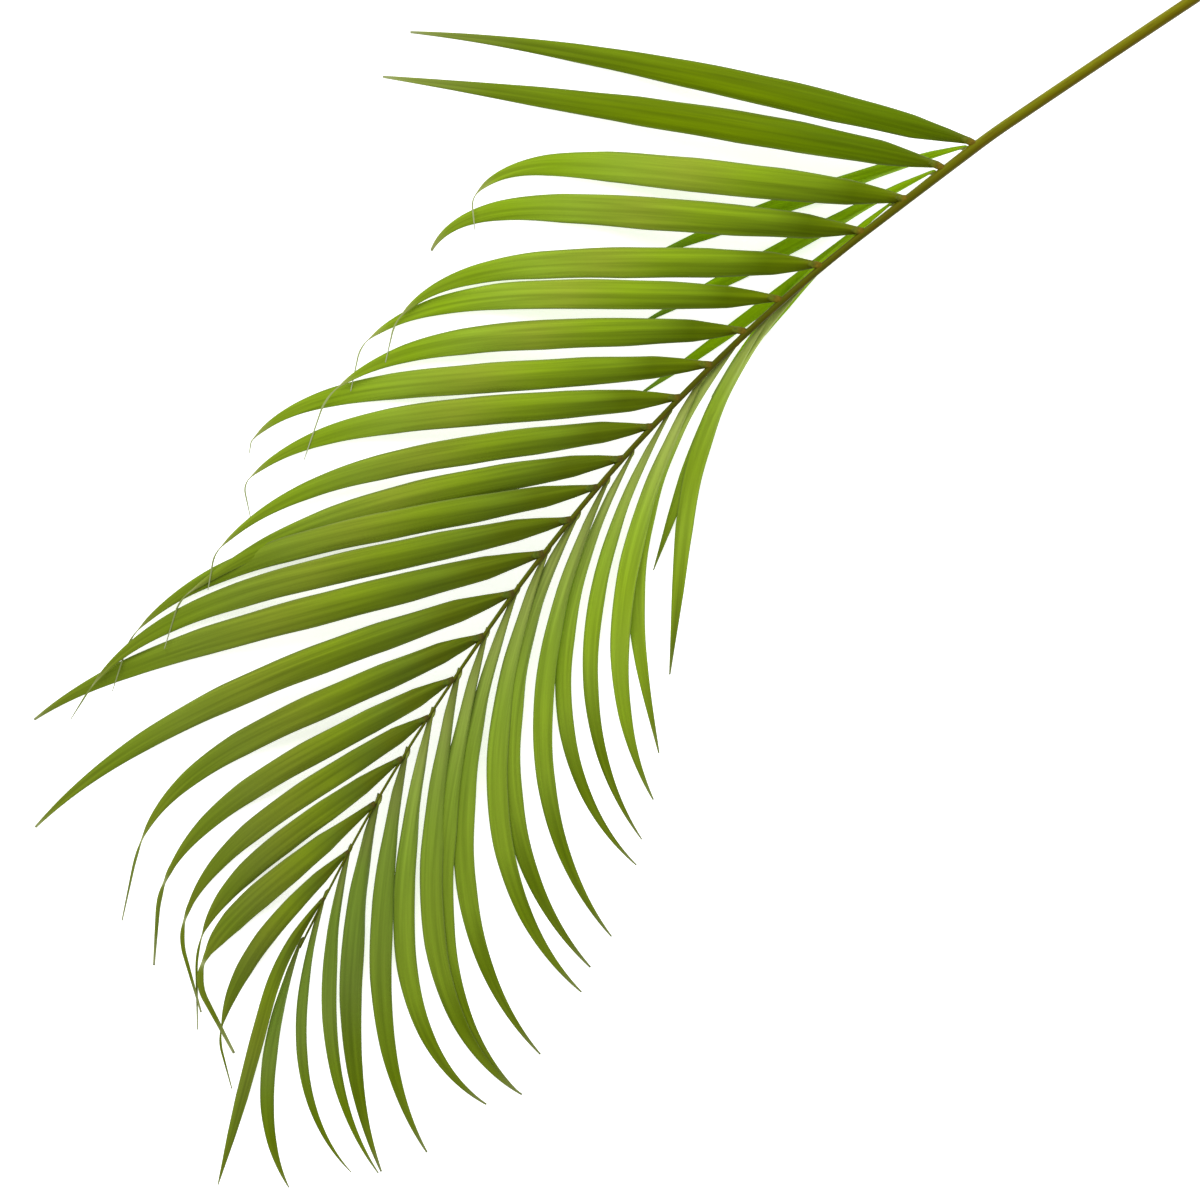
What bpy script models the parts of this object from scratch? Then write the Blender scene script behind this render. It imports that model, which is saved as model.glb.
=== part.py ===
"""Areca palm frond, cut from the plant and laid on a table with its near row of leaflets on top.

The stalk runs along +X from its cut end to the frond's tip, +Z is up, and the origin is the middle
of the footprint on the table. Sizes below are in millimetres and become metres in the meshes.
"""

import bmesh
import bpy
import numpy as np
from mathutils import Matrix

MM = 0.001

# Stalk: its heading from +X in degrees at distances along it, its radius, and the height of its axis over
# the table. Distances count from a place on the bare stalk that is 108 mm from its cut end. Curves are
# summed in fine steps and read at the places that the mesh needs.
CUT_END = -108.0
TIP_END = 730.0
STALK_STEP = 24.0
FINE_STEPS = 400
STALK_TURN_AT = (-108, 0, 125, 150, 225, 262, 300, 340, 385, 430, 480, 520, 575, 640, 680, 730)
STALK_HEADING = (-13.5, -12.3, -11.8, -8.4, -8.0, -5.9, -3.8, -1.4, 0.7, 3.7, 6.4, 8.9, 10.2, 14.0, 16.6, 17.6)
STALK_RADIUS_AT = (-108, 0, 150, 230, 345, 505, 570, 730)
STALK_RADIUS = (3.6, 3.2, 3.0, 2.1, 1.75, 1.3, 0.85, 0.6)
STALK_HEIGHT_AT = (-108, 0, 150, 300, 450, 600, 730)
STALK_HEIGHT = (3.6, 13.0, 27.0, 36.0, 37.0, 29.0, 15.0)

# Blades: how thick, where along its length one settles on the table, and where its rows of points are.
BLADE_THICKNESS = 0.8
SETTLES_AT = 0.8
BLADE_AT = (0, 0.06, 0.14, 0.24, 0.35, 0.46, 0.57, 0.67, 0.76, 0.84, 0.91, 0.96, 1.0)
ROOT_BACK = 2.0

# Near row, on the side of -Y, from the cut end on. Each leaflet has the distance of its root along the
# stalk, its angle to the stalk, how far its heading turns, how late it turns, its length, its width and
# how high its outer end lies over the table.
NEAR_ROW = (
    (148, -51.4, 10, 2.5, 314, 18.0, 0),
    (170, -49.4, 5, 1.0, 309, 19.0, 0),
    (196, -44.5, 60, 8.8, 241, 19.8, 4.5),
    (226, -43.0, 70, 8.0, 244, 19.0, 0),
    (256, -40.5, 52.5, 5.5, 237, 17.8, 7),
    (285, -43.0, 43, 4.8, 230, 17.3, 3.5),
    (311, -42.0, 38.5, 4.3, 228, 17.2, 6),
    (337, -41.0, 45, 6.6, 258, 17.5, 0),
    (362, -42.0, 40, 4.7, 243, 17.0, 4.5),
    (384, -39.5, 40, 3.6, 250, 16.5, 8),
    (408, -39.2, 28, 2.4, 251, 16.8, 6.5),
    (429, -39.5, 38, 4.2, 268, 16.5, 4),
    (452, -39.1, 42, 4.6, 282, 17.2, 5),
    (476, -38.2, 23, 4.6, 295, 18.2, 0),
    (503, -35.5, 28.2, 2.6, 295, 17.8, 0),
    (532, -32.2, 46, 4.6, 223, 16.5, 0),
    (561, -28.7, 41, 4.0, 197, 15.0, 0),
    (586, -25.2, 42.5, 4.0, 177, 13.8, 3),
    (613, -23.5, 37, 4.2, 149, 13.8, 0),
    (642, -21.7, 29, 5.2, 129, 15.0, 2.5),
    (672, -18.5, 36, 2.2, 122, 10.8, 0),
    (701, -10.2, 22, 0.45, 169, 8.2, 0),
)

# Far row, on the side of +Y. The first four lean back under the stalk and the near row.
FAR_ROW = (
    (152, -22.6, 8, 1.0, 188, 11.0, 0),
    (174, -10.7, 0.5, 1.0, 184, 10.0, 0),
    (202, 2.3, -6.5, 1.0, 180, 8.0, 0),
    (230, 3.5, 15, 1.3, 118, 8.0, 0),
    (269, 7.8, 36.2, 0.75, 232, 11.5, 0),
    (292, 14.8, 14.5, 0.8, 156, 8.5, 3.5),
    (316, 10.3, 48.5, 0.95, 241, 11.5, 0),
    (343, 18.5, 54, 1.7, 244, 12.5, 2),
    (369, 15.8, 63.5, 1.6, 250, 9.8, 0),
    (400, 15.5, 74, 1.7, 245, 10.2, 0),
    (420, 17.0, 63.3, 1.6, 266, 12.0, 2),
    (445, 12.6, 71, 1.5, 268, 14.5, 0),
    (470, 18.5, 67, 1.8, 261, 13.0, 2),
    (498, 17.5, 62, 1.85, 271, 13.2, 0),
    (527, 21.2, 61, 2.5, 266, 13.5, 0),
    (554, 24.0, 68, 2.6, 250, 14.5, 2.5),
    (580, 22.5, 70, 2.7, 233, 13.5, 0),
    (606, 21.5, 42, 2.2, 227, 14.5, 2),
    (636, 17.9, 34.8, 1.8, 210, 15.0, 0),
    (668, 16.0, 47.5, 1.8, 186, 10.0, 1.5),
    (696, 12.0, 59.5, 1.95, 163, 7.2, 0),
    (726, 8.0, 48, 2.1, 141, 8.8, 0),
)
UNDER_THE_STALK = 4

# Leaflets whose outline differs from their row's: the widths are read at this power of the distance, so
# that under 1 they narrow sooner and over 1 they are widest further out.
OWN_TAPER = {
    "near_1": 0.64, "near_2": 0.7, "near_3": 1.12, "near_4": 1.08, "near_6": 1.06, "near_7": 1.08, "near_8": 1.06,
    "near_10": 0.84, "near_15": 0.76, "near_19": 1.25, "near_20": 1.7, "near_21": 1.25, "near_22": 1.2,
    "far_12": 0.88, "far_14": 0.93, "far_15": 0.9, "far_16": 0.86, "far_17": 0.9, "far_18": 0.74,
    "far_19": 0.7, "far_20": 0.65, "far_21": 0.75, "far_22": 1.1,
}

# Dried tails of the near row's tips: how long, their heading from +X at the end, and how wide at the start.
# A tail has turned to its heading at a share of its length, and ends at a share of its first width.
NEAR_TAILS = {
    3: (20, 50, 1.3),
    5: (26, 31, 1.3),
    6: (30, 32, 1.2),
    7: (44, 25, 1.3),
    8: (8, 36, 1.3),
    9: (24, 56, 1.2),
    10: (24, 34, 1.3),
    11: (34, 27, 1.3),
    12: (36, 26, 1.3),
    13: (22, 12, 1.4),
    16: (45, 32, 2.0),
    17: (46, 40, 3.2),
    18: (52, 60, 3.0),
    19: (51, 45, 1.8),
    20: (54, 72, 4.4),
    21: (33, 59, 1.8),
}
TAIL_BENT_AT = 0.4
TAIL_POINT = 0.45
TAIL_AT = (0.2, 0.4, 0.7, 1.0)

# How far aside of the stalk's axis, and how high on it, the swollen roots of a row stand.
ASIDE_AT = (150, 170, 200, 230, 270, 310, 360, 400, 440, 470, 640, 700)
NEAR_ASIDE = (-4.6, -5.2, -0.9, -2.8, -3.2, -3.4, -1.5, -1.5, -1.6, -1.6, -1.2, -1.0)
FAR_ASIDE = (-3.1, -3.2, -3.6, -1.9, 1.8, 0.9, 1.4, 2.3, 1.9, 0.6, 0.6, -0.8)
NEAR_ROOT_UP = 0.4
FAR_ROOT_UP = -0.5

# Shape shared by a row, from root to tip: width, fold of the two halves and lean of the blade, in degrees.
ALONG = (0.0, 0.04, 0.10, 0.25, 0.45, 0.65, 0.80, 0.91, 1.0)
WIDTH_SHARE = (0.34, 0.53, 0.77, 0.95, 1.0, 0.88, 0.60, 0.30, 0.07)
NEAR_FOLD = (50, 34, 22, 16, 15, 14, 12, 10, 8)
FAR_FOLD = (64, 62, 58, 46, 22, 14, 12, 10, 8)
NEAR_LEAN = (0, 0, 0, 0, 0, 0, 0, 0, 0)
FAR_LEAN = (-24, -24, -24, -20, -10, -4, 0, 0, 0)
NEAR_CLIMB = 0.34
FAR_CLIMB = -0.02
UNDER_CLIMB = -0.35


def stalk_line(places):
    """Points on the stalk's axis and its heading in radians at distances along it."""
    fine = np.linspace(CUT_END, TIP_END, 4 * FINE_STEPS + 1)
    heading = np.radians(np.interp(fine, STALK_TURN_AT, STALK_HEADING))
    step = np.diff(fine)
    x = np.concatenate([[0], np.cumsum(np.cos(heading[1:]) * step)])
    y = np.concatenate([[0], np.cumsum(np.sin(heading[1:]) * step)])
    x, y = np.interp(places, fine, x), np.interp(places, fine, y)
    z = np.interp(places, STALK_HEIGHT_AT, STALK_HEIGHT)
    return np.stack([x, y, z], axis=-1), np.interp(places, fine, heading)


def eased(share):
    """Goes from 0 to 1 with a slow start and a slow end, and stays at 1."""
    share = np.clip(share, 0, 1)
    return share * share * (3 - 2 * share)


def blade_points(row, asides, root_up, folds, leans, climb, taper=1.0, tail=None):
    """Left edge, ridge and right edge of a leaflet along its length, as an array of rows by 3 by 3.

    The ridge starts on the stalk's axis and steps aside to its foot. From there its heading turns by a
    power of the distance, or by a soft step where the turn ends before the tip, and its height falls on
    a cubic curve to the table, with the climb as its slope at the foot.
    """
    place, angle, turn, late, length, width, lies_at = row
    radius = np.interp(place, STALK_RADIUS_AT, STALK_RADIUS)
    axis, stalk_heading = stalk_line(np.array([place - ROOT_BACK, place]))
    aside = np.interp(place, ASIDE_AT, asides)
    foot = axis[1] + aside * np.array([-np.sin(stalk_heading[1]), np.cos(stalk_heading[1]), 0])
    t = np.array(BLADE_AT)
    fine = np.linspace(0, 1, FINE_STEPS + 1)
    share = fine**late if late >= 1 else eased(fine / late)
    heading = stalk_heading[1] + np.radians(angle + turn * share)
    run_x = np.interp(t, fine[1:], np.cumsum(np.cos(heading[1:])) / FINE_STEPS, left=0) * length
    run_y = np.interp(t, fine[1:], np.cumsum(np.sin(heading[1:])) / FINE_STEPS, left=0) * length
    fold = np.radians(np.interp(t, ALONG, folds))
    lean = np.radians(np.interp(t, ALONG, leans))
    half = width / 2 * np.interp(t**taper, ALONG, WIDTH_SHARE)
    if taper < 1:
        half = np.minimum(half, width / 2 * np.interp(t, ALONG, WIDTH_SHARE))
    if tail:
        half = np.maximum(half, tail[2] / 2)
    u = np.minimum(t / SETTLES_AT, 1)
    settled = lies_at + half * np.sin(fold) + BLADE_THICKNESS / 2
    root_height = foot[2] + root_up * radius
    height = settled + (root_height - settled) * (2 * u**3 - 3 * u**2 + 1)
    height += climb * length * SETTLES_AT * (u**3 - 2 * u**2 + u)
    spine = np.stack([foot[0] + run_x, foot[1] + run_y, height], axis=1)
    if tail:
        tail_length, tail_heading, tail_width = tail
        bend = heading[-1] + (np.radians(tail_heading) - heading[-1]) * np.minimum(fine / TAIL_BENT_AT, 1)
        steps = np.stack([np.cos(bend), np.sin(bend), 0 * bend], axis=1) * tail_length / len(fine)
        further = np.stack([np.interp(TAIL_AT, fine, line) for line in np.cumsum(steps, axis=0).T], axis=1)
        spine = np.concatenate([spine, spine[-1] + further])
        tail_half = tail_width / 2 * (1 - (1 - TAIL_POINT) * np.array(TAIL_AT))
        half = np.concatenate([half, tail_half])
        fold = np.concatenate([fold, np.full(len(TAIL_AT), fold[-1])])
        lean = np.concatenate([lean, np.full(len(TAIL_AT), lean[-1])])
    start = axis[0] + np.array([0, 0, root_up * radius])
    spine = np.concatenate([start[None], spine])
    fold, lean, half = (np.concatenate([v[:1], v])[:, None] for v in (fold, lean, half))
    along = np.gradient(spine, axis=0)
    along /= np.linalg.norm(along, axis=1)[:, None]
    left = np.cross([0, 0, 1], along)
    left /= np.linalg.norm(left, axis=1)[:, None]
    up = np.cross(along, left)
    across = np.cos(lean) * left + np.sin(lean) * up
    normal = np.cos(lean) * up - np.sin(lean) * left
    left_edge = spine + half * (np.cos(fold) * across - np.sin(fold) * normal)
    right_edge = spine - half * (np.cos(fold) * across + np.sin(fold) * normal)
    return np.stack([left_edge, spine, right_edge], axis=1)


def all_blades():
    """Name and points of every leaflet of the frond."""
    found = []
    for number, row in enumerate(NEAR_ROW, 1):
        taper = OWN_TAPER.get(f"near_{number}", 1.0)
        tail = NEAR_TAILS.get(number)
        shape = (NEAR_ASIDE, NEAR_ROOT_UP, NEAR_FOLD, NEAR_LEAN, NEAR_CLIMB, taper, tail)
        found.append((f"near_{number}", blade_points(row, *shape)))
    for number, row in enumerate(FAR_ROW, 1):
        climb = UNDER_CLIMB if number <= UNDER_THE_STALK else FAR_CLIMB
        shape = (FAR_ASIDE, FAR_ROOT_UP, FAR_FOLD, FAR_LEAN, climb, OWN_TAPER.get(f"far_{number}", 1.0))
        found.append((f"far_{number}", blade_points(row, *shape)))
    return found


def leaf_material(name, colour, roughness):
    """A Principled material of one colour."""
    material = bpy.data.materials.new(name)
    material.use_nodes = True
    shader = material.node_tree.nodes["Principled BSDF"]
    shader.inputs["Base Color"].default_value = (*colour, 1)
    shader.inputs["Roughness"].default_value = roughness
    return material


def stalk_object(name):
    """The tapering stalk: a round-bevelled curve with filled ends, made a mesh in place."""
    places = np.linspace(CUT_END, TIP_END, round((TIP_END - CUT_END) / STALK_STEP) + 1)
    points, _ = stalk_line(places)
    radii = np.interp(places, STALK_RADIUS_AT, STALK_RADIUS)
    curve = bpy.data.curves.new(name + "_axis", "CURVE")
    curve.dimensions = "3D"
    curve.bevel_depth = MM
    curve.bevel_resolution = 2
    curve.use_fill_caps = True
    spline = curve.splines.new("POLY")
    spline.points.add(len(points) - 1)
    for knot, point, radius in zip(spline.points, points, radii):
        knot.co = (*(point * MM), 1)
        knot.radius = radius
    axis = bpy.data.objects.new(name + "_axis", curve)
    bpy.context.collection.objects.link(axis)
    bpy.context.view_layer.update()
    graph = bpy.context.evaluated_depsgraph_get()
    mesh = bpy.data.meshes.new_from_object(axis.evaluated_get(graph))
    mesh.transform(axis.matrix_world)
    bpy.data.objects.remove(axis)
    work = bmesh.new()
    work.from_mesh(mesh)
    bmesh.ops.remove_doubles(work, verts=work.verts, dist=1e-6)
    bmesh.ops.recalc_face_normals(work, faces=work.faces)
    work.to_mesh(mesh)
    work.free()
    stalk = bpy.data.objects.new(name, mesh)
    bpy.context.collection.objects.link(stalk)
    return stalk


def blade_object(name, points):
    """One leaflet: its folded surface, split alike on both faces, given its thickness."""
    rows, columns = points.shape[:2]
    mesh = bpy.data.meshes.new(name)
    corner = np.arange(rows * columns).reshape(rows, columns)
    quads = np.stack([corner[:-1, :-1], corner[1:, :-1], corner[1:, 1:], corner[:-1, 1:]], axis=-1)
    mesh.from_pydata((points.reshape(-1, 3) * MM).tolist(), [], quads.reshape(-1, 4).tolist())
    work = bmesh.new()
    work.from_mesh(mesh)
    bmesh.ops.triangulate(work, faces=work.faces)
    work.to_mesh(mesh)
    work.free()
    blade = bpy.data.objects.new(name, mesh)
    wall = blade.modifiers.new("thickness", "SOLIDIFY")
    wall.thickness = BLADE_THICKNESS * MM
    wall.offset = 0
    return blade


def applied(thing):
    """Replaces an object's mesh by the one that its modifiers make."""
    bpy.context.view_layer.update()
    graph = bpy.context.evaluated_depsgraph_get()
    mesh = bpy.data.meshes.new_from_object(thing.evaluated_get(graph))
    thing.modifiers.clear()
    thing.data = mesh


for old in list(bpy.data.objects):
    bpy.data.objects.remove(old)

frond = stalk_object("frond")
blades = bpy.data.collections.new("blades")
bpy.context.scene.collection.children.link(blades)
for label, points in all_blades():
    blade = blade_object(label, points)
    blades.objects.link(blade)
    applied(blade)

union = frond.modifiers.new("leaflets", "BOOLEAN")
union.operation = "UNION"
union.operand_type = "COLLECTION"
union.collection = blades
union.solver = "EXACT"
applied(frond)
for blade in list(blades.objects):
    bpy.data.objects.remove(blade)
bpy.data.collections.remove(blades)

# The frond moves so that its lowest points are on the table and its footprint's middle is at the origin.
corners = np.array([vertex.co for vertex in frond.data.vertices])
middle = (corners.min(axis=0) + corners.max(axis=0)) / 2
frond.data.transform(Matrix.Translation((-middle[0], -middle[1], -corners[:, 2].min())))

frond.data.materials.clear()
frond.data.materials.append(leaf_material("palm_leaf", (0.10, 0.19, 0.01), 0.45))
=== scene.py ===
import bpy
import numpy as np
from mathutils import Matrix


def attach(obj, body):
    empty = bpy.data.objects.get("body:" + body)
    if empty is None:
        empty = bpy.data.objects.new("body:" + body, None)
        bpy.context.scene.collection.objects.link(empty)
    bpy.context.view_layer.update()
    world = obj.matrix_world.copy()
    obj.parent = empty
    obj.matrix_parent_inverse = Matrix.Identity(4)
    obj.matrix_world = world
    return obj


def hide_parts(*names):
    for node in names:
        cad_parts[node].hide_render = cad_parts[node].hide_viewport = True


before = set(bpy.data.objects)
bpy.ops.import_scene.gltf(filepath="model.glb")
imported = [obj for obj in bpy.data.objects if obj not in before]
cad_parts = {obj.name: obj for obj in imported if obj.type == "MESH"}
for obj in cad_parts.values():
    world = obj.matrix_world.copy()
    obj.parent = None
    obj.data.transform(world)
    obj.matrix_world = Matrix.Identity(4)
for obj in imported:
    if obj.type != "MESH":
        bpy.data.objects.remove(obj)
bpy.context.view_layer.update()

# Table, light and camera. The cut frond lies on a plain white table top. A long lens looks straight down
# on it, turned so that the stalk comes in at the upper right corner of the picture. A wide soft lamp
# stands over the upper left side, and the white room fills the shadows.

# Lengths are in millimetres and angles in degrees. Blender takes metres, so lengths are multiplied by MM.
MM = 0.001
TABLE_HALF = 6000.0
VIEW_MIDDLE = (97.1, 67.3)
VIEW_WIDTH = 660.0
PICTURE_TURN = 134.0
LENS = 400.0
SENSOR = 36.0
FOCUS_HEIGHT = 20.0
ROOM_LIGHT = 0.72
LAMP_POWER = 1.9
LAMP_SPREAD = 50.0
LAMP_HEIGHT = 52.0
LAMP_SIDE = 108.0


def linear(hex_colour):
    """The linear red, green and blue of an sRGB hex colour, by the sRGB curve."""
    shares = np.array([int(hex_colour[i:i + 2], 16) for i in (1, 3, 5)]) / 255
    return np.where(shares <= 0.04045, shares / 12.92, ((shares + 0.055) / 1.055) ** 2.4)


def opaque(hex_colour):
    """The same colour with a full alpha, as a shader socket takes it."""
    return (*linear(hex_colour), 1.0)


scene = bpy.context.scene
scene.view_settings.view_transform = "Standard"
scene.view_settings.look = "None"

# White lacquered table top: an even, matt white that takes only a faint shadow.
table_white = bpy.data.materials.new("matt_white_lacquer")
table_white.use_nodes = True
tree = table_white.node_tree
shader = tree.nodes["Principled BSDF"]
shader.inputs["Base Color"].default_value = opaque("#f7f8f6")
shader.inputs["Roughness"].default_value = 0.9
shader.inputs["Specular IOR Level"].default_value = 0.1
shader.inputs["Emission Color"].default_value = opaque("#ffffff")
shader.inputs["Emission Strength"].default_value = 0.60

table_mesh = bpy.data.meshes.new("table_top")
corners = np.array([[-1, -1, 0], [1, -1, 0], [1, 1, 0], [-1, 1, 0]]) * TABLE_HALF * MM
table_mesh.from_pydata(corners.tolist(), [], [(0, 1, 2, 3)])
table_mesh.materials.append(table_white)
table_top = bpy.data.objects.new("table_top", table_mesh)
scene.collection.objects.link(table_top)

room = bpy.data.worlds.new("white_room")
room.use_nodes = True
room.node_tree.nodes["Background"].inputs["Color"].default_value = opaque("#ffffff")
room.node_tree.nodes["Background"].inputs["Strength"].default_value = ROOM_LIGHT
scene.world = room

lamp = bpy.data.lights.new("soft_lamp", "SUN")
lamp.energy = LAMP_POWER
lamp.angle = np.radians(LAMP_SPREAD)
lamp_stand = bpy.data.objects.new("soft_lamp", lamp)
lamp_stand.rotation_euler = (np.radians(90 - LAMP_HEIGHT), 0, np.radians(PICTURE_TURN + LAMP_SIDE + 90))
scene.collection.objects.link(lamp_stand)

lens = bpy.data.cameras.new("long_lens")
lens.lens = LENS
lens.sensor_width = SENSOR
lens.clip_end = 100
camera = bpy.data.objects.new("long_lens", lens)
stand_off = VIEW_WIDTH * LENS / SENSOR
camera.location = np.array([*VIEW_MIDDLE, FOCUS_HEIGHT + stand_off]) * MM
camera.rotation_euler = (0, 0, np.radians(PICTURE_TURN))
scene.collection.objects.link(camera)
scene.camera = camera

# Stalk. The leaf's own midrib, hard and smooth, round below with a shallow groove on top, as thick as a
# pencil at the cut and thin as a wire at the tip. It grew in one piece with the leaflets, arches over the
# table from its cut end and sinks towards its tip. Here it is a ring of points carried along its axis.

# Places along the stalk count from near the picture's edge: the cut end is before 0 and the tip is at 730.
CUT_END = -108.0
TIP_END = 730.0
CUT_END_AT = (-474.8, 96.92)
END_INSET = 0.2
AXIS_POINTS = 1677
STALK_TURN_AT = (-108, 0, 125, 150, 225, 262, 300, 340, 385, 430, 480, 520, 575, 640, 680, 730)
STALK_HEADING = (-13.5, -12.3, -11.8, -8.4, -8.0, -5.9, -3.8, -1.4,
                 0.7, 3.7, 6.4, 8.9, 10.2, 14.0, 16.6, 17.6)
STALK_RADIUS_AT = (-108, 0, 150, 230, 345, 505, 570, 730)
STALK_RADIUS = (3.6, 3.2, 3.0, 2.1, 1.75, 1.3, 0.85, 0.6)
STALK_HEIGHT_AT = (-108, 0, 150, 300, 450, 600, 730)
STALK_HEIGHT = (3.6, 13.0, 27.0, 36.0, 37.0, 29.0, 15.0)
STALK_ROWS = 520
STALK_SIDES = 28
INSIDE_THE_SOLID = 0.985
GROOVE_DEPTH = 0.10
GROOVE_WIDTH = 0.06
# The stalk's colours along it: on the side towards the lamp, and a painted shade, darker and browner, on the
# side away from it.
STALK_TINT_AT = (0, 120, 200, 330, 480, 730)
STALK_LIT_SIDE = ("#74720a", "#707208", "#585a04", "#484e04", "#525c0c", "#5c6a12")
STALK_PAINTED_SHADE = ("#5a5004", "#565004", "#4a4a03", "#404004", "#42420a", "#4a520e")
PAINTED_SHADE_FROM = 0.05
PAINTED_SHADE_SPREAD = 0.35
GRAIN_RADIUS = 3.0
SCURF_TINT = "#5e480a"
SCURF_LENGTH = 26.0
FIBRE_STRETCH = (0.05, 1.4, 1.0)
SCURF_STRETCH = (1 / SCURF_LENGTH, 0.16, 1.0)


def stalk_line(places):
    """Points on the stalk's axis and its heading in radians, at places given as mm along the stalk. The
    heading is read between its keys, and its cosine and sine are summed along the way from the cut end."""
    fine = np.linspace(CUT_END, TIP_END, AXIS_POINTS)
    heading = np.radians(np.interp(fine, STALK_TURN_AT, STALK_HEADING))
    step = np.diff(fine)
    x = np.concatenate([[0], np.cumsum(np.cos(heading[1:]) * step)]) + CUT_END_AT[0]
    y = np.concatenate([[0], np.cumsum(np.sin(heading[1:]) * step)]) + CUT_END_AT[1]
    z = np.interp(places, STALK_HEIGHT_AT, STALK_HEIGHT)
    axis = np.stack([np.interp(places, fine, x), np.interp(places, fine, y), z], -1)
    return axis, np.interp(places, fine, heading)


def tube_faces(rows, sides):
    """Quads round a tube of rows of points, and one flat cap at each end, all facing outwards."""
    row, side = np.meshgrid(np.arange(rows - 1), np.arange(sides), indexing="ij")
    after = (side + 1) % sides
    quads = np.stack([row * sides + side, (row + 1) * sides + side, (row + 1) * sides + after,
                      row * sides + after], -1).reshape(-1, 4)
    caps = [list(range(sides)), list(range((rows - 1) * sides, rows * sides))[::-1]]
    return quads, caps


def shaped(name, parts, marks, material):
    """One smooth object from tubes. Each part is an array of points, by rows of closed rings, and marks
    holds the arrays that the material reads, by name, as vectors or as colours."""
    points, faces, start = [], [], 0
    for places in parts:
        rows, sides = places.shape[:2]
        quads, caps = tube_faces(rows, sides)
        faces += (quads + start).tolist()
        faces += [[corner + start for corner in cap] for cap in caps]
        points.append(places.reshape(-1, 3))
        start += rows * sides
    mesh = bpy.data.meshes.new(name)
    mesh.from_pydata((np.concatenate(points) * MM).tolist(), [], faces)
    for label, values in marks.items():
        values = np.concatenate([v.reshape(-1, v.shape[-1]) for v in values]).astype(np.float32)
        kind, field = ("FLOAT_VECTOR", "vector") if values.shape[1] == 3 else ("FLOAT_COLOR", "color")
        mesh.attributes.new(label, kind, "POINT").data.foreach_set(field, values.ravel())
    mesh.shade_smooth()
    mesh.materials.append(material)
    piece = bpy.data.objects.new(name, mesh)
    scene.collection.objects.link(piece)
    return piece


def blended(at, keys, colours):
    """Linear colours read between hex colours at their keys, with a full alpha in the fourth place."""
    table = np.array([linear(c) for c in colours])
    mixed = np.stack([np.interp(at, keys, table[:, i]) for i in range(3)], -1)
    return np.concatenate([mixed, np.ones((*mixed.shape[:-1], 1))], -1)


def put(tree, kind, inputs=None, **settings):
    """Adds one node: its settings by name, its inputs from values or from other nodes' sockets."""
    node = tree.nodes.new("ShaderNode" + kind)
    for name, value in settings.items():
        setattr(node, name, value)
    for name, value in (inputs or {}).items():
        if isinstance(value, bpy.types.NodeSocket):
            tree.links.new(value, node.inputs[name])
        else:
            node.inputs[name].default_value = value
    return node


places = np.linspace(CUT_END + END_INSET, TIP_END, STALK_ROWS)
axis, heading = stalk_line(places)
turn = np.linspace(0, 2 * np.pi, STALK_SIDES, endpoint=False)
aside = np.stack([-np.sin(heading), np.cos(heading), np.zeros(STALK_ROWS)], -1)
forward = np.gradient(axis, axis=0)
forward /= np.linalg.norm(forward, axis=1)[:, None]
upward = np.cross(forward, aside)
radius = np.interp(places, STALK_RADIUS_AT, STALK_RADIUS)[:, None] * INSIDE_THE_SOLID
groove = 1 - GROOVE_DEPTH * np.exp(-((np.cos(turn) - 1) / GROOVE_WIDTH) ** 2) * (places > 0)[:, None]
ring = radius * groove
stalk_points = (axis[:, None] + aside[:, None] * (ring * np.sin(turn))[..., None]
                + upward[:, None] * (ring * np.cos(turn))[..., None])
stalk_grain = np.stack([np.repeat(places[:, None], STALK_SIDES, 1),
                        np.repeat(turn[None], STALK_ROWS, 0) * GRAIN_RADIUS,
                        np.zeros((STALK_ROWS, STALK_SIDES))], -1)
# Painted shade: the side away from the lamp takes the darker, browner colours.
lit_side_tint = blended(places, STALK_TINT_AT, STALK_LIT_SIDE)
painted_shade_tint = blended(places, STALK_TINT_AT, STALK_PAINTED_SHADE)
painted_shade_side = (0.5 + 0.5 * np.tanh((np.sin(turn) - PAINTED_SHADE_FROM) / PAINTED_SHADE_SPREAD))[None, :, None]
stalk_tint = lit_side_tint[:, None] * (1 - painted_shade_side) + painted_shade_tint[:, None] * painted_shade_side

# Palm stalk rind, hard and lightly waxed: olive, with a painted shade that is darker and browner on the side
# away from the lamp. Its fibres run lengthwise, under 1 mm wide, with brown flecks of scurf 3 mm wide and
# 12 mm long, and the gloss is soft.
stalk_rind = bpy.data.materials.new("waxed_palm_rind")
stalk_rind.use_nodes = True
tree = stalk_rind.node_tree
shader = tree.nodes["Principled BSDF"]
tint = put(tree, "Attribute", attribute_name="tint")
grain = put(tree, "Attribute", attribute_name="grain")
fibre_place = put(tree, "VectorMath", {0: grain.outputs["Vector"], 1: FIBRE_STRETCH}, operation="MULTIPLY")
scurf_place = put(tree, "VectorMath", {0: grain.outputs["Vector"], 1: SCURF_STRETCH}, operation="MULTIPLY")
fibres = put(tree, "TexNoise", {"Vector": fibre_place.outputs[0], "Scale": 1.0, "Detail": 3.0})
scurf = put(tree, "TexNoise", {"Vector": scurf_place.outputs[0], "Scale": 2.2, "Detail": 4.0})
scurf_share = put(tree, "MapRange", {"Value": scurf.outputs["Fac"], "From Min": 0.50, "From Max": 0.72,
                                     "To Max": 0.55})
fibre_share = put(tree, "MapRange", {"Value": fibres.outputs["Fac"], "From Min": 0.3, "From Max": 0.7,
                                     "To Min": 0.84, "To Max": 1.14})
scurfed = put(tree, "Mix", {"Factor": scurf_share.outputs[0], 6: tint.outputs["Color"],
                            7: opaque(SCURF_TINT)}, data_type="RGBA")
fibred = put(tree, "VectorMath", {0: scurfed.outputs[2], "Scale": fibre_share.outputs[0]}, operation="SCALE")
tree.links.new(fibred.outputs[0], shader.inputs["Base Color"])
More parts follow.
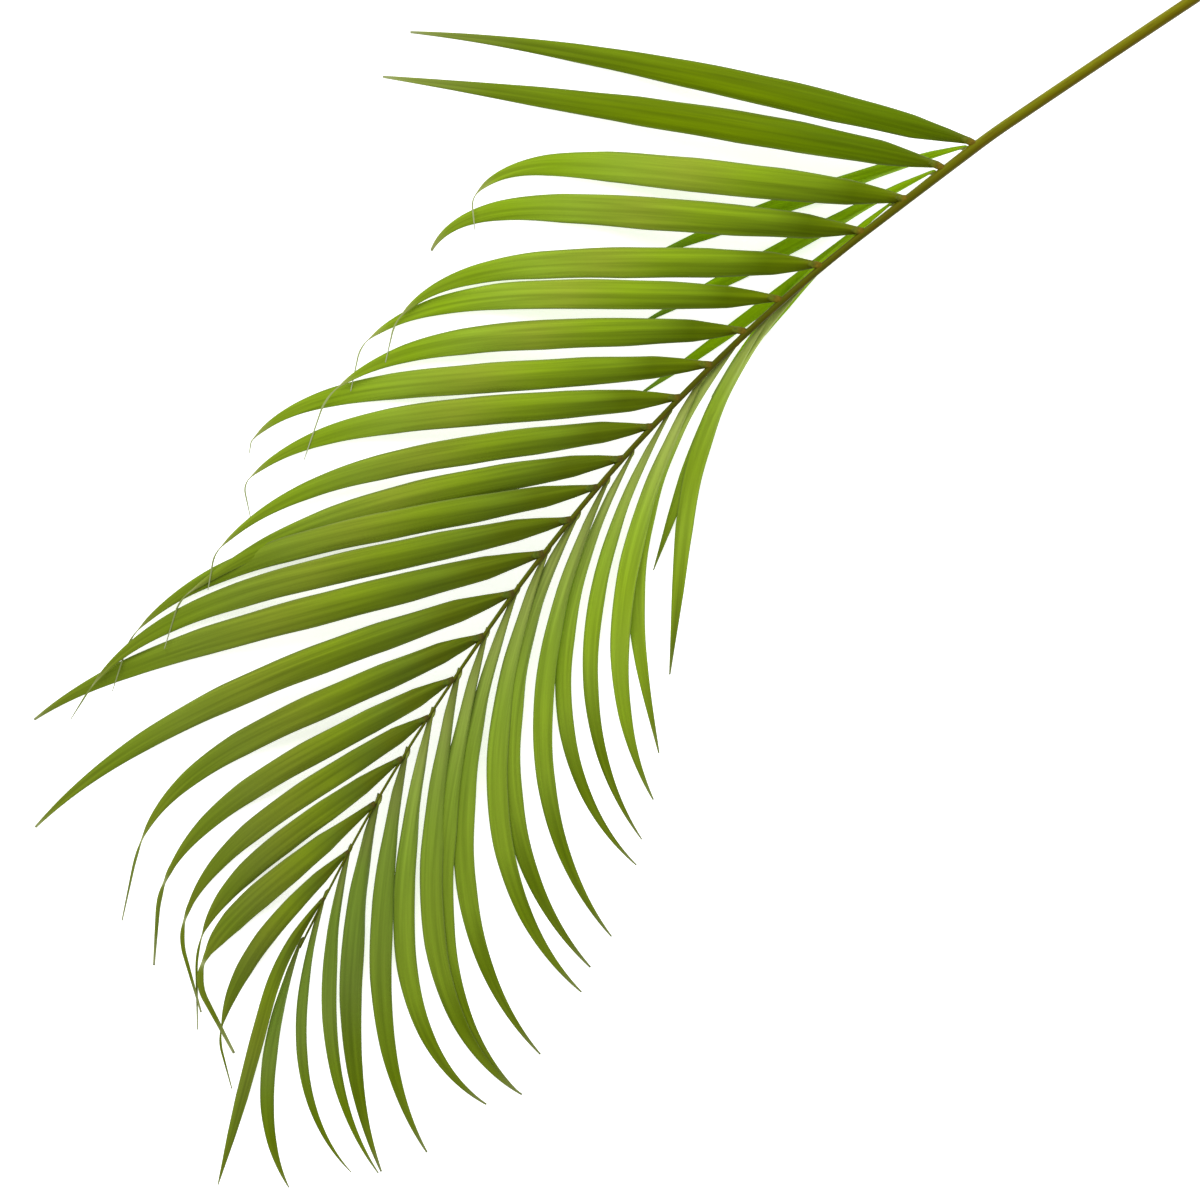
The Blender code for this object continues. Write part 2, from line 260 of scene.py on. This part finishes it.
bumped = put(tree, "Bump", {"Height": fibres.outputs["Fac"], "Strength": 0.35, "Distance": 0.0002})
tree.links.new(bumped.outputs[0], shader.inputs["Normal"])
shader.inputs["Roughness"].default_value = 0.42
shader.inputs["Specular IOR Level"].default_value = 0.14
shader.inputs["Specular Tint"].default_value = opaque("#d8c878")

stalk = shaped("stalk", [stalk_points], {"tint": [stalk_tint], "grain": [stalk_grain]}, stalk_rind)
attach(stalk, "root")
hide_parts("frond")

# Near leaflets. Thin stiff blades that grew in a row from the side of the stalk, folded along their middle
# rib like a low roof, with three side nerves in each half. They arch up from their roots and come down on
# the table, and most tips have dried to narrow tails. Each is a closed ring of points along a curved rib.

# For each leaflet: its place on the stalk, its angle to the stalk, how far it turns after that and by what
# power of the length, its length, its widest width and the height that it comes to lie at. A power below 1
# is the share of the length within which it turns.
NEAR_ROW = (
    (148, -51.4, 10, 2.5, 314, 18.0, 0),
    (170, -49.4, 5, 1.0, 309, 19.0, 0),
    (196, -44.5, 60, 8.8, 241, 19.8, 4.5),
    (226, -43.0, 70, 8.0, 244, 19.0, 0),
    (256, -40.5, 52.5, 5.5, 237, 17.8, 7),
    (285, -43.0, 43, 4.8, 230, 17.3, 3.5),
    (311, -42.0, 38.5, 4.3, 228, 17.2, 6),
    (337, -41.0, 45, 6.6, 258, 17.5, 0),
    (362, -42.0, 40, 4.7, 243, 17.0, 4.5),
    (384, -39.5, 40, 3.6, 250, 16.5, 8),
    (408, -39.2, 28, 2.4, 251, 16.8, 6.5),
    (429, -39.5, 38, 4.2, 268, 16.5, 4),
    (452, -39.1, 42, 4.6, 282, 17.2, 5),
    (476, -38.2, 23, 4.6, 295, 18.2, 0),
    (503, -35.5, 28.2, 2.6, 295, 17.8, 0),
    (532, -32.2, 46, 4.6, 223, 16.5, 0),
    (561, -28.7, 41, 4.0, 197, 15.0, 0),
    (586, -25.2, 42.5, 4.0, 177, 13.8, 3),
    (613, -23.5, 37, 4.2, 149, 13.8, 0),
    (642, -21.7, 29, 5.2, 129, 15.0, 2.5),
    (672, -18.5, 36, 2.2, 122, 10.8, 0),
    (701, -10.2, 22, 0.45, 169, 8.2, 0),
)
# The power of the length by which the width is read, for those leaflets where it isn't 1.
OWN_TAPER = {
    "near_1": 0.64, "near_2": 0.7, "near_3": 1.12, "near_4": 1.08, "near_6": 1.06, "near_7": 1.08,
    "near_8": 1.06, "near_10": 0.84, "near_15": 0.76, "near_19": 1.25, "near_20": 1.7, "near_21": 1.25,
    "near_22": 1.2,
    "far_12": 0.88, "far_14": 0.93, "far_15": 0.9, "far_16": 0.86, "far_17": 0.9, "far_18": 0.74,
    "far_19": 0.7, "far_20": 0.65, "far_21": 0.75, "far_22": 1.1,
}
# The dried tails' lengths, headings on the table and widths, by leaflet. A tail has turned to its heading
# by the first share of its length, ends at the second share of its width, and is pinched at its root.
NEAR_TAILS = {
    3: (20, 50, 1.3),
    5: (26, 31, 1.3),
    6: (30, 32, 1.2),
    7: (44, 25, 1.3),
    8: (8, 36, 1.3),
    9: (24, 56, 1.2),
    10: (24, 34, 1.3),
    11: (34, 27, 1.3),
    12: (36, 26, 1.3),
    13: (22, 12, 1.4),
    16: (45, 32, 2.0),
    17: (46, 40, 3.2),
    18: (52, 60, 3.0),
    19: (51, 45, 1.8),
    20: (54, 72, 4.4),
    21: (33, 59, 1.8),
}
TAIL_BENT_AT = 0.4
TAIL_POINT = 0.35
TAIL_PINCH = 0.5
PINCH_LENGTH = 5.0

# How a leaflet leaves the stalk and where it settles, and its width, fold and lean at shares of its length.
CAD_THICKNESS = 0.8
SETTLES_AT = 0.8
ROOT_BACK = 2.0
ASIDE_AT = (150, 170, 200, 230, 270, 310, 360, 400, 440, 470, 640, 700)
NEAR_ASIDE = (-4.6, -5.2, -0.9, -2.8, -3.2, -3.4, -1.5, -1.5, -1.6, -1.6, -1.2, -1.0)
NEAR_ROOT_UP = 0.4
ALONG = (0.0, 0.04, 0.10, 0.25, 0.45, 0.65, 0.80, 0.91, 1.0)
WIDTH_SHARE = (0.34, 0.53, 0.77, 0.95, 1.0, 0.88, 0.60, 0.30, 0.07)
NEAR_FOLD = (50, 34, 22, 16, 15, 14, 12, 10, 8)
NEAR_LEAN = (0, 0, 0, 0, 0, 0, 0, 0, 0)
NEAR_CLIMB = 0.34

# The blade's rows and columns of points, its thickness, and the small forms on it, with the half-widths in
# mm from which the nerves and the edge waves are full. A blade that lies flat has calmer waves near its end.
BLADE_ROWS = 76
EVEN_ROWS_SHARE = 0.55
TAIL_ROWS = 22
HALF_COLUMNS = 9
RIB_STEPS = 800
RIB_ROUNDING = 0.002
RIB_SHARPNESS = 12
BLADE_THICKNESS = 0.42
EDGE_POWER = 8
THIN_BELOW = 1.5
THINNEST_SHARE = 0.4
NERVES = 3
NERVE_HEIGHT = 0.07
NERVE_FADE_POWER = 6
NERVE_FULL_AT = 6.0
HALF_ARCH = 0.09
ARCH_FROM = 20.0
EDGE_WAVE = 0.35
EDGE_WAVE_LENGTH = 47.0
EDGE_WAVE_POWER = 3
WAVE_FULL_AT = 8.0
WAVE_STEP = 2.4
LYING_CALM = 0.8
CALM_FROM = 0.55
CALM_OVER = 0.25


def eased(share):
    """Goes from 0 to 1 with a slow start and a slow end, and stays at 1."""
    share = np.clip(share, 0, 1)
    return share * share * (3 - 2 * share)


def directions(line):
    """Two unit vectors at each point of a line: one level and to its left, and one at right angles to
    that and to the line."""
    along = np.gradient(line, axis=0)
    along /= np.linalg.norm(along, axis=1)[:, None]
    left = np.cross([0, 0, 1], along)
    left /= np.linalg.norm(left, axis=1)[:, None]
    return left, np.cross(along, left)


def leaflet(row, asides, root_up, folds, leans, climb, taper, tail, number):
    """Points of one leaflet as rows of closed rings, and for each point the share along, the place
    across from -1 to 1, and the millimetres along and across. The rib starts on the stalk's axis and
    steps aside to its foot. From there its heading turns by a power of the distance, and its height is
    a cubic that leaves the foot at a set climb and lies level where it settles. Each half of the blade
    slopes from the rib by the fold. On that slope lie a sine arch, a cosine of three nerves, and an
    edge wave that grows with the cube of the place across."""
    place, angle, turn, late, length, width, lies_at = row
    stalk_radius = np.interp(place, STALK_RADIUS_AT, STALK_RADIUS)
    axis, stalk_heading = stalk_line(np.array([place - ROOT_BACK, place]))
    aside = np.interp(place, ASIDE_AT, asides)
    foot = axis[1] + aside * np.array([-np.sin(stalk_heading[1]), np.cos(stalk_heading[1]), 0])
    even = np.linspace(0, 1, BLADE_ROWS)
    t = EVEN_ROWS_SHARE * even + (1 - EVEN_ROWS_SHARE) * (1 - np.cos(np.pi * even)) / 2
    fine = np.linspace(0, 1, RIB_STEPS + 1)
    share = fine**late if late >= 1 else eased(fine / late)
    heading = stalk_heading[1] + np.radians(angle + turn * share)
    run_x = np.interp(t, fine[1:], np.cumsum(np.cos(heading[1:])) / RIB_STEPS, left=0) * length
    run_y = np.interp(t, fine[1:], np.cumsum(np.sin(heading[1:])) / RIB_STEPS, left=0) * length
    fold = np.radians(np.interp(t, ALONG, folds))
    lean = np.radians(np.interp(t, ALONG, leans))
    half = width / 2 * np.interp(t**taper, ALONG, WIDTH_SHARE)
    if taper < 1:
        half = np.minimum(half, width / 2 * np.interp(t, ALONG, WIDTH_SHARE))
    if tail:
        half = np.maximum(half, tail[2] / 2)
    u = np.minimum(t / SETTLES_AT, 1)
    settled = lies_at + half * np.sin(fold) + CAD_THICKNESS / 2
    root_height = foot[2] + root_up * stalk_radius
    height = settled + (root_height - settled) * (2 * u**3 - 3 * u**2 + 1)
    height += climb * length * SETTLES_AT * (u**3 - 2 * u**2 + u)
    spine = np.stack([foot[0] + run_x, foot[1] + run_y, height], axis=1)
    distance = t * length
    if tail:
        tail_length, tail_heading, tail_width = tail
        v = np.linspace(0, 1, TAIL_ROWS + 1)[1:]
        bend = heading[-1] + (np.radians(tail_heading) - heading[-1]) * np.minimum(v / TAIL_BENT_AT, 1)
        steps = np.stack([np.cos(bend), np.sin(bend), np.zeros(TAIL_ROWS)], 1) * tail_length / TAIL_ROWS
        spine = np.concatenate([spine, spine[-1] + np.cumsum(steps, axis=0)])
        half = np.concatenate([half, tail_width / 2 * (1 - (1 - TAIL_POINT) * v)])
        fold = np.concatenate([fold, np.full(TAIL_ROWS, fold[-1])])
        lean = np.concatenate([lean, np.full(TAIL_ROWS, lean[-1])])
        t = np.concatenate([t, 1 + v])
        distance = np.concatenate([distance, length + v * tail_length])
        half = half * (1 - TAIL_PINCH * np.exp(-(((distance - length) / PINCH_LENGTH) ** 2)))
    start = axis[0] + np.array([0, 0, root_up * stalk_radius])
    spine = np.concatenate([start[None], spine])
    by_row = (fold, lean, half, t, distance)
    fold, lean, half, t, distance = (np.concatenate([v[:1], v])[:, None] for v in by_row)
    left, up = directions(spine)
    across = np.cos(lean) * left + np.sin(lean) * up
    normal = np.cos(lean) * up - np.sin(lean) * left
    v = np.sin(np.linspace(-np.pi / 2, np.pi / 2, 2 * HALF_COLUMNS - 1))
    v = np.concatenate([v, v[-2:0:-1]])
    face = np.concatenate([np.ones(2 * HALF_COLUMNS - 1), -np.ones(2 * HALF_COLUMNS - 3)])
    reach = np.abs(v)
    away = np.sqrt(v**2 + RIB_ROUNDING) - np.sqrt(RIB_ROUNDING) * (1 - reach)
    side = np.tanh(v * RIB_SHARPNESS)
    off_slope = (np.cos(fold)[..., None] * normal[:, None]
                 + (np.sin(fold) * side)[..., None] * across[:, None])
    arch = HALF_ARCH * half * np.sin(np.pi * reach) * (1 - np.exp(-distance / ARCH_FROM))
    nerve = NERVE_HEIGHT * np.cos(2 * np.pi * NERVES * reach) * (1 - reach**NERVE_FADE_POWER)
    nerve = nerve * np.clip(half / NERVE_FULL_AT, 0, 1)
    swing = np.sin(2 * np.pi * distance / EDGE_WAVE_LENGTH + number * WAVE_STEP + side)
    wave = EDGE_WAVE * reach**EDGE_WAVE_POWER * swing * np.clip(half / WAVE_FULL_AT, 0, 1)
    if lies_at <= 0:
        wave = wave * (1 - LYING_CALM * eased((t - CALM_FROM) / CALM_OVER))
    thick = BLADE_THICKNESS / 2 * np.sqrt(np.clip(1 - v**EDGE_POWER, 0, 1)) * face
    thick = thick * np.clip(half / THIN_BELOW, THINNEST_SHARE, 1)
    middle = (spine[:, None] + (half * np.cos(fold) * v)[..., None] * across[:, None]
              - (half * np.sin(fold) * away)[..., None] * normal[:, None])
    points = middle + (arch + nerve + wave + thick)[..., None] * off_slope
    t, v = np.broadcast_arrays(t, v)
    return points, t, v, distance + 0 * v, half * v


# Colours by the share of the length, and from 1 to 2 along the dried tail: the fresh leaflets, the
# deeper green of the two by the cut end, and the dull green towards the frond's tip. Each grows lighter
# from its dark root to the middle of its length, partly its own colour and partly a painted sheen.
COLOUR_AT = (0.0, 0.04, 0.12, 0.2, 0.35, 0.5, 0.65,
             0.8, 0.94, 0.975, 1.0, 1.06, 1.6, 2.0)
FRESH = ("#666606", "#607200", "#586c00", "#718a10", "#829d18", "#8ea02c", "#8ca72c",
         "#84a218", "#829c20", "#94a04c", "#a0a470", "#98a466", "#a2ac7c", "#b0b498")
DEEP = ("#5c6404", "#556800", "#576e00", "#5a7200", "#647a00", "#667c00", "#647a06",
        "#687c14", "#7c8a3a", "#8a9650", "#98a070", "#98a070", "#98a070", "#98a070")
DULL = ("#5a5a0c", "#54620c", "#5e6a10", "#64761c", "#728418", "#717e20", "#6a7824",
        "#62731a", "#66721c", "#6a7628", "#98a06c", "#66741c", "#5c6a12", "#8a9060")
DEEP_LEAFLETS = 2
DULLER_FROM = (7, 10, 15, 18)
DULLER_BY = (0.0, 0.42, 0.8, 1.0)
# Painted shade: how bright the half away from the lamp is painted along the leaflet, for the leaflets up to
# each number.
SHADE_AT = (0.0, 0.1, 0.2, 0.35, 0.5, 0.65, 0.8)
SHADE_TO_LEAFLET = (
    (7, (0.72, 0.80, 0.64, 0.74, 0.96, 1.0, 1.0)),
    (17, (0.72, 0.78, 0.62, 0.68, 0.88, 0.98, 1.0)),
    (22, (0.72, 0.78, 0.76, 0.94, 1.0, 1.0, 1.0)),
)

# The marks of every blade, and the stretch of its two streak patterns along it and across it.
SHADE_EDGE = 0.02
SHADE_EDGE_WIDTH = 0.10
NEAR_RIB_SHADE = 0.16
RIB_SHADE_WIDTH = 0.09
EDGE_TINT = "#6e7846"
EDGE_SHARE = 0.55
EDGE_FROM = 0.86
EDGE_OVER = 0.12
OWN_BRIGHTNESS = 0.06
GRAIN_STEP = 31.0
WIDE_STREAKS = (0.012, 0.42, 1.0)
THIN_STREAKS = (0.010, 1.5, 1.0)
draw = np.random.default_rng(7)


def leaflet_marks(rings, colours, shade, rib_shade, number):
    """Tint and grain of one leaflet. The half away from the lamp is darker by a painted shade, the rib is a
    little darker by a bell curve, and the thin edges turn to a greyer olive. Each leaflet's brightness
    differs by a few hundredths. The grain is in mm along and across, a step apart for each leaflet."""
    t, v, distance, aside = rings[1:]
    tint = colours.copy()
    away = 0.5 + 0.5 * np.tanh((v - SHADE_EDGE) / SHADE_EDGE_WIDTH)
    # Painted shade on the half of the blade away from the lamp.
    tint[..., :3] *= (1 - away * (1 - shade))[..., None]
    tint[..., :3] *= (1 - rib_shade * np.exp(-((v / RIB_SHADE_WIDTH) ** 2)))[..., None]
    rim = (EDGE_SHARE * eased((np.abs(v) - EDGE_FROM) / EDGE_OVER) * (t < 1))[..., None]
    tint[..., :3] = tint[..., :3] * (1 - rim) + linear(EDGE_TINT) * rim
    tint[..., :3] *= 1 + draw.uniform(-OWN_BRIGHTNESS, OWN_BRIGHTNESS)
    return tint, np.stack([distance, aside, np.full_like(v, number * GRAIN_STEP)], -1)


# Living palm blade, waxy and leathery. Its nerves run the whole length, so the colour varies in streaks
# 80 to 100 mm long and 2.4 or 0.7 mm wide. The sheen is broad and weak, and some light comes through.
def blade_finish(name, glow, glow_share, rough):
    """Material of a leaflet: long streaks and fine nerves over the tint, a soft gloss and a little glow."""
    material = bpy.data.materials.new(name)
    material.use_nodes = True
    tree = material.node_tree
    shader = tree.nodes["Principled BSDF"]
    tint = put(tree, "Attribute", attribute_name="tint")
    grain = put(tree, "Attribute", attribute_name="grain")
    wide_place = put(tree, "VectorMath", {0: grain.outputs["Vector"], 1: WIDE_STREAKS}, operation="MULTIPLY")
    thin_place = put(tree, "VectorMath", {0: grain.outputs["Vector"], 1: THIN_STREAKS}, operation="MULTIPLY")
    wide = put(tree, "TexNoise", {"Vector": wide_place.outputs[0], "Scale": 1.0, "Detail": 2.0})
    thin = put(tree, "TexNoise", {"Vector": thin_place.outputs[0], "Scale": 1.0, "Detail": 3.0})
    wide_share = put(tree, "MapRange", {"Value": wide.outputs["Fac"], "From Min": 0.3, "From Max": 0.7,
                                        "To Min": 0.80, "To Max": 1.18})
    thin_share = put(tree, "MapRange", {"Value": thin.outputs["Fac"], "From Min": 0.3, "From Max": 0.7,
                                        "To Min": 0.93, "To Max": 1.07})
    streaks = put(tree, "Math", {0: wide_share.outputs[0], 1: thin_share.outputs[0]}, operation="MULTIPLY")
    streaked = put(tree, "VectorMath", {0: tint.outputs["Color"], "Scale": streaks.outputs[0]},
                   operation="SCALE")
    tree.links.new(streaked.outputs[0], shader.inputs["Base Color"])
    bumped = put(tree, "Bump", {"Height": thin.outputs["Fac"], "Strength": 0.3, "Distance": 0.0002})
    tree.links.new(bumped.outputs[0], shader.inputs["Normal"])
    shader.inputs["Roughness"].default_value = rough
    shader.inputs["Specular IOR Level"].default_value = 0.12
    shader.inputs["Specular Tint"].default_value = opaque("#c4dc80")
    through = put(tree, "BsdfTranslucent", {"Color": opaque(glow)})
    both = put(tree, "MixShader", {0: glow_share, 1: shader.outputs[0], 2: through.outputs[0]})
    tree.links.new(both.outputs[0], tree.nodes["Material Output"].inputs["Surface"])
    return material


near_parts, near_tints, near_grains = [], [], []
near_shape = (NEAR_ASIDE, NEAR_ROOT_UP, NEAR_FOLD, NEAR_LEAN, NEAR_CLIMB)
for number, row in enumerate(NEAR_ROW, 1):
    taper = OWN_TAPER.get(f"near_{number}", 1.0)
    rings = leaflet(row, *near_shape, taper, NEAR_TAILS.get(number), number)
    t = rings[1]
    duller = np.interp(number, DULLER_FROM, DULLER_BY)
    colours = blended(t, COLOUR_AT, FRESH) * (1 - duller) + blended(t, COLOUR_AT, DULL) * duller
    shade = np.interp(t, SHADE_AT, next(shades for last, shades in SHADE_TO_LEAFLET if number <= last))
    if number <= DEEP_LEAFLETS:
        colours, shade = blended(t, COLOUR_AT, DEEP), 1.0
    tint, grain = leaflet_marks(rings, colours, shade, NEAR_RIB_SHADE, number)
    near_parts.append(rings[0])
    near_tints.append(tint)
    near_grains.append(grain)
waxed_blade = blade_finish("waxed_palm_blade", "#86b020", 0.10, 0.46)
near_leaflets = shaped("near_leaflets", near_parts, {"tint": near_tints, "grain": near_grains}, waxed_blade)
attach(near_leaflets, "root")
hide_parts("frond")

# Far leaflets. The row on the other side of the stalk. The first four lean back under the stalk and show
# between the near leaflets in a bright green that is painted light, a glow as of light shining through them,
# and the rest leave the stalk nearly on edge and roll open further out.
# They are the same thin blades, grown in one piece with the stalk, and their values mean the same.
FAR_ROW = (
    (152, -22.6, 8, 1.0, 188, 11.0, 0),
    (174, -10.7, 0.5, 1.0, 184, 10.0, 0),
    (202, 2.3, -6.5, 1.0, 180, 8.0, 0),
    (230, 3.5, 15, 1.3, 118, 8.0, 0),
    (269, 7.8, 36.2, 0.75, 232, 11.5, 0),
    (292, 14.8, 14.5, 0.8, 156, 8.5, 3.5),
    (316, 10.3, 48.5, 0.95, 241, 11.5, 0),
    (343, 18.5, 54, 1.7, 244, 12.5, 2),
    (369, 15.8, 63.5, 1.6, 250, 9.8, 0),
    (400, 15.5, 74, 1.7, 245, 10.2, 0),
    (420, 17.0, 63.3, 1.6, 266, 12.0, 2),
    (445, 12.6, 71, 1.5, 268, 14.5, 0),
    (470, 18.5, 67, 1.8, 261, 13.0, 2),
    (498, 17.5, 62, 1.85, 271, 13.2, 0),
    (527, 21.2, 61, 2.5, 266, 13.5, 0),
    (554, 24.0, 68, 2.6, 250, 14.5, 2.5),
    (580, 22.5, 70, 2.7, 233, 13.5, 0),
    (606, 21.5, 42, 2.2, 227, 14.5, 2),
    (636, 17.9, 34.8, 1.8, 210, 15.0, 0),
    (668, 16.0, 47.5, 1.8, 186, 10.0, 1.5),
    (696, 12.0, 59.5, 1.95, 163, 7.2, 0),
    (726, 8.0, 48, 2.1, 141, 8.8, 0),
)
UNDER_THE_STALK = 4
FAR_ASIDE = (-3.1, -3.2, -3.6, -1.9, 1.8, 0.9, 1.4, 2.3, 1.9, 0.6, 0.6, -0.8)
FAR_ROOT_UP = -0.5
FAR_FOLD = (64, 62, 58, 46, 22, 14, 12, 10, 8)
FAR_LEAN = (-24, -24, -24, -20, -10, -4, 0, 0, 0)
FAR_CLIMB = -0.02
UNDER_CLIMB = -0.35
# The under leaflets' colours at shares of their length: a bright green of painted light, a glow as of light
# shining through them that lifts them out of the near leaflets' shadow.
UNDER_AT = (0.8, 1.0)
UNDER_PAINTED_GLOW = ("#98c008", "#7a9a3a")
FAR_COLOUR_AT = (0.0, 0.04, 0.12, 0.2, 0.35, 0.5, 0.65, 0.8, 0.93, 1.0)
PALE = ("#787d32", "#8e9846", "#a5b45a", "#a7ba52", "#9ebb37",
        "#99b528", "#92ab2e", "#80971e", "#68781a", "#788046")
FAR_DULL = ("#5f6424", "#6a7530", "#76823a", "#738a30", "#728830",
            "#708230", "#647618", "#5b6b04", "#647018", "#7c8050")
FAR_DULLER_FROM = (8, 12, 17, 19)
FAR_DULLER_BY = (0.0, 0.42, 0.6, 1.0)
OLD_ENDS_FROM = 9
OLD_ENDS_SHARE = 0.85
OLD_END_AT = 0.5
OLD_END_OVER = 0.3
FAR_RIB_SHADE = 0.03

far_parts, far_tints, far_grains = [], [], []
for number, row in enumerate(FAR_ROW, 1):
    under = number <= UNDER_THE_STALK
    shape = (FAR_ASIDE, FAR_ROOT_UP, FAR_FOLD, FAR_LEAN, UNDER_CLIMB if under else FAR_CLIMB)
    rings = leaflet(row, *shape, OWN_TAPER.get(f"far_{number}", 1.0), None, number)
    t = rings[1]
    duller = np.interp(number, FAR_DULLER_FROM, FAR_DULLER_BY)
    old_end = OLD_ENDS_SHARE * eased((t - OLD_END_AT) / OLD_END_OVER) * (number >= OLD_ENDS_FROM)
    duller = np.maximum(duller, old_end)[..., None]
    colours = blended(t, FAR_COLOUR_AT, PALE) * (1 - duller) + blended(t, FAR_COLOUR_AT, FAR_DULL) * duller
    if under:
        # Painted glow for the leaflets under the stalk.
        colours = blended(t, UNDER_AT, UNDER_PAINTED_GLOW)
    tint, grain = leaflet_marks(rings, colours, 1.0, FAR_RIB_SHADE, number + len(NEAR_ROW))
    far_parts.append(rings[0])
    far_tints.append(tint)
    far_grains.append(grain)
bright_blade = blade_finish("young_palm_blade", "#8cc018", 0.20, 0.50)
far_leaflets = shaped("far_leaflets", far_parts, {"tint": far_tints, "grain": far_grains}, bright_blade)
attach(far_leaflets, "root")
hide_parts("frond")

# Root cushions. Where each leaflet leaves the stalk, the real frond has a small swollen joint that sets the
# leaflet's angle. It is corky and golden brown by the cut end of the frond, and green further out. Each is
# a short fat sleeve grown round the leaflet's root.
CUSHION_LENGTH = 6.5
CUSHION_ROWS = 14
CUSHION_SIDES = 16
NEAR_CUSHION = 1.8
FAR_CUSHION = 1.3
NEAR_CUSHION_RISE = 14.0
FAR_CUSHION_RISE = -6.0
FULL_CUSHION_WIDTH = 16.0
THINNEST_CUSHION = 0.55
FATTEST_CUSHION = 1.1
SHORTEST_CUSHION = 0.6
CUSHION_FLATNESS = 0.72
SWELL_BASE = 0.50
SWELL_EARLY = 1.1
SWELL_POWER = 0.8
NECK_SHARE = 0.75
NECK_FROM = 0.6
NECK_OVER = 0.4
CUSHION_AT = (0, 0.25, 0.42, 0.62, 1)
CUSHION_BROWN = ("#544c04", "#6e5a02", "#705e04", "#5c6004", "#526400")
CUSHION_GREEN = ("#3e3c04", "#4c4206", "#4a4c06", "#4a5804", "#4e6004")
CUSHION_FAR = ("#4c4c0c", "#5c5e18", "#6a7024", "#74802e", "#7c8a36")
CUSHION_GREENER_FROM = (5, 12)
SPOT_SIZE = 1.6


def cushion(row, asides, root_up, size, rise):
    """Rings of one cushion, and each ring's share along. The middle line is a quadratic curve from inside
    the stalk to a point on the blade, drawn towards the leaflet's foot. The ring is wider than high, and
    its radius is a base and a sine hump, drawn in to a neck at the far end."""
    place, angle, width = row[0], row[1], row[5]
    axis, stalk_heading = stalk_line(np.array([place - ROOT_BACK, place]))
    aside = np.interp(place, ASIDE_AT, asides)
    side = np.array([-np.sin(stalk_heading[1]), np.cos(stalk_heading[1]), 0])
    lift = root_up * np.interp(place, STALK_RADIUS_AT, STALK_RADIUS)
    foot = axis[1] + aside * side + np.array([0, 0, lift])
    start = axis[0] + np.array([0, 0, lift])
    way = stalk_heading[1] + np.radians(angle)
    forward = np.array([np.cos(way), np.sin(way), np.tan(np.radians(rise))])
    share = np.linspace(0, 1, CUSHION_ROWS)
    end = foot + forward * CUSHION_LENGTH * np.clip(width / FULL_CUSHION_WIDTH, SHORTEST_CUSHION, 1)
    near, far = 1 - share[:, None], share[:, None]
    rib = near**2 * start + 2 * far * near * foot + far**2 * end
    scale = size * np.clip(width / FULL_CUSHION_WIDTH, THINNEST_CUSHION, FATTEST_CUSHION)
    hump = np.sin(np.pi * np.clip(share * SWELL_EARLY, 0, 1)) ** SWELL_POWER
    neck = 1 - NECK_SHARE * eased((share - NECK_FROM) / NECK_OVER)
    swell = scale * (SWELL_BASE + (1 - SWELL_BASE) * hump) * neck
    left, up = directions(rib)
    turn = np.linspace(0, 2 * np.pi, CUSHION_SIDES, endpoint=False)
    ring = (np.cos(turn)[None, :, None] * up[:, None] * CUSHION_FLATNESS
            + np.sin(turn)[None, :, None] * left[:, None])
    return rib[:, None] + swell[:, None, None] * ring, share


cushion_parts, cushion_tints = [], []
for rows, asides, root_up, size, rise in (
        (NEAR_ROW, NEAR_ASIDE, NEAR_ROOT_UP, NEAR_CUSHION, NEAR_CUSHION_RISE),
        (FAR_ROW, FAR_ASIDE, FAR_ROOT_UP, FAR_CUSHION, FAR_CUSHION_RISE)):
    for number, row in enumerate(rows, 1):
        places, share = cushion(row, asides, root_up, size, rise)
        fade = np.repeat(share[:, None], CUSHION_SIDES, 1)
        if rows is NEAR_ROW:
            greener = np.interp(number, CUSHION_GREENER_FROM, (0, 1))
            tints = (blended(fade, CUSHION_AT, CUSHION_BROWN) * (1 - greener)
                     + blended(fade, CUSHION_AT, CUSHION_GREEN) * greener)
        else:
            tints = blended(fade, CUSHION_AT, CUSHION_FAR)
        cushion_parts.append(places)
        cushion_tints.append(tints)

# Corky cushion tissue: dull and golden brown to olive, mottled in spots of 1.6 mm, with hardly any gloss.
cork = bpy.data.materials.new("corky_root_cushion")
cork.use_nodes = True
tree = cork.node_tree
shader = tree.nodes["Principled BSDF"]
tint = put(tree, "Attribute", attribute_name="tint")
spots_place = put(tree, "TexCoord")
spots = put(tree, "TexNoise", {"Vector": spots_place.outputs["Object"], "Scale": 1 / (SPOT_SIZE * MM),
                               "Detail": 3.0})
spot_share = put(tree, "MapRange", {"Value": spots.outputs["Fac"], "From Min": 0.3, "From Max": 0.7,
                                    "To Min": 0.72, "To Max": 1.25})
spotted = put(tree, "VectorMath", {0: tint.outputs["Color"], "Scale": spot_share.outputs[0]},
              operation="SCALE")
tree.links.new(spotted.outputs[0], shader.inputs["Base Color"])
bumped = put(tree, "Bump", {"Height": spots.outputs["Fac"], "Strength": 0.4, "Distance": 0.0003})
tree.links.new(bumped.outputs[0], shader.inputs["Normal"])
shader.inputs["Roughness"].default_value = 0.7
shader.inputs["Specular IOR Level"].default_value = 0.15

cushions = shaped("root_cushions", cushion_parts, {"tint": cushion_tints}, cork)
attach(cushions, "root")
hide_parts("frond")

# Brings the scene's objects up to date.
bpy.context.view_layer.update()
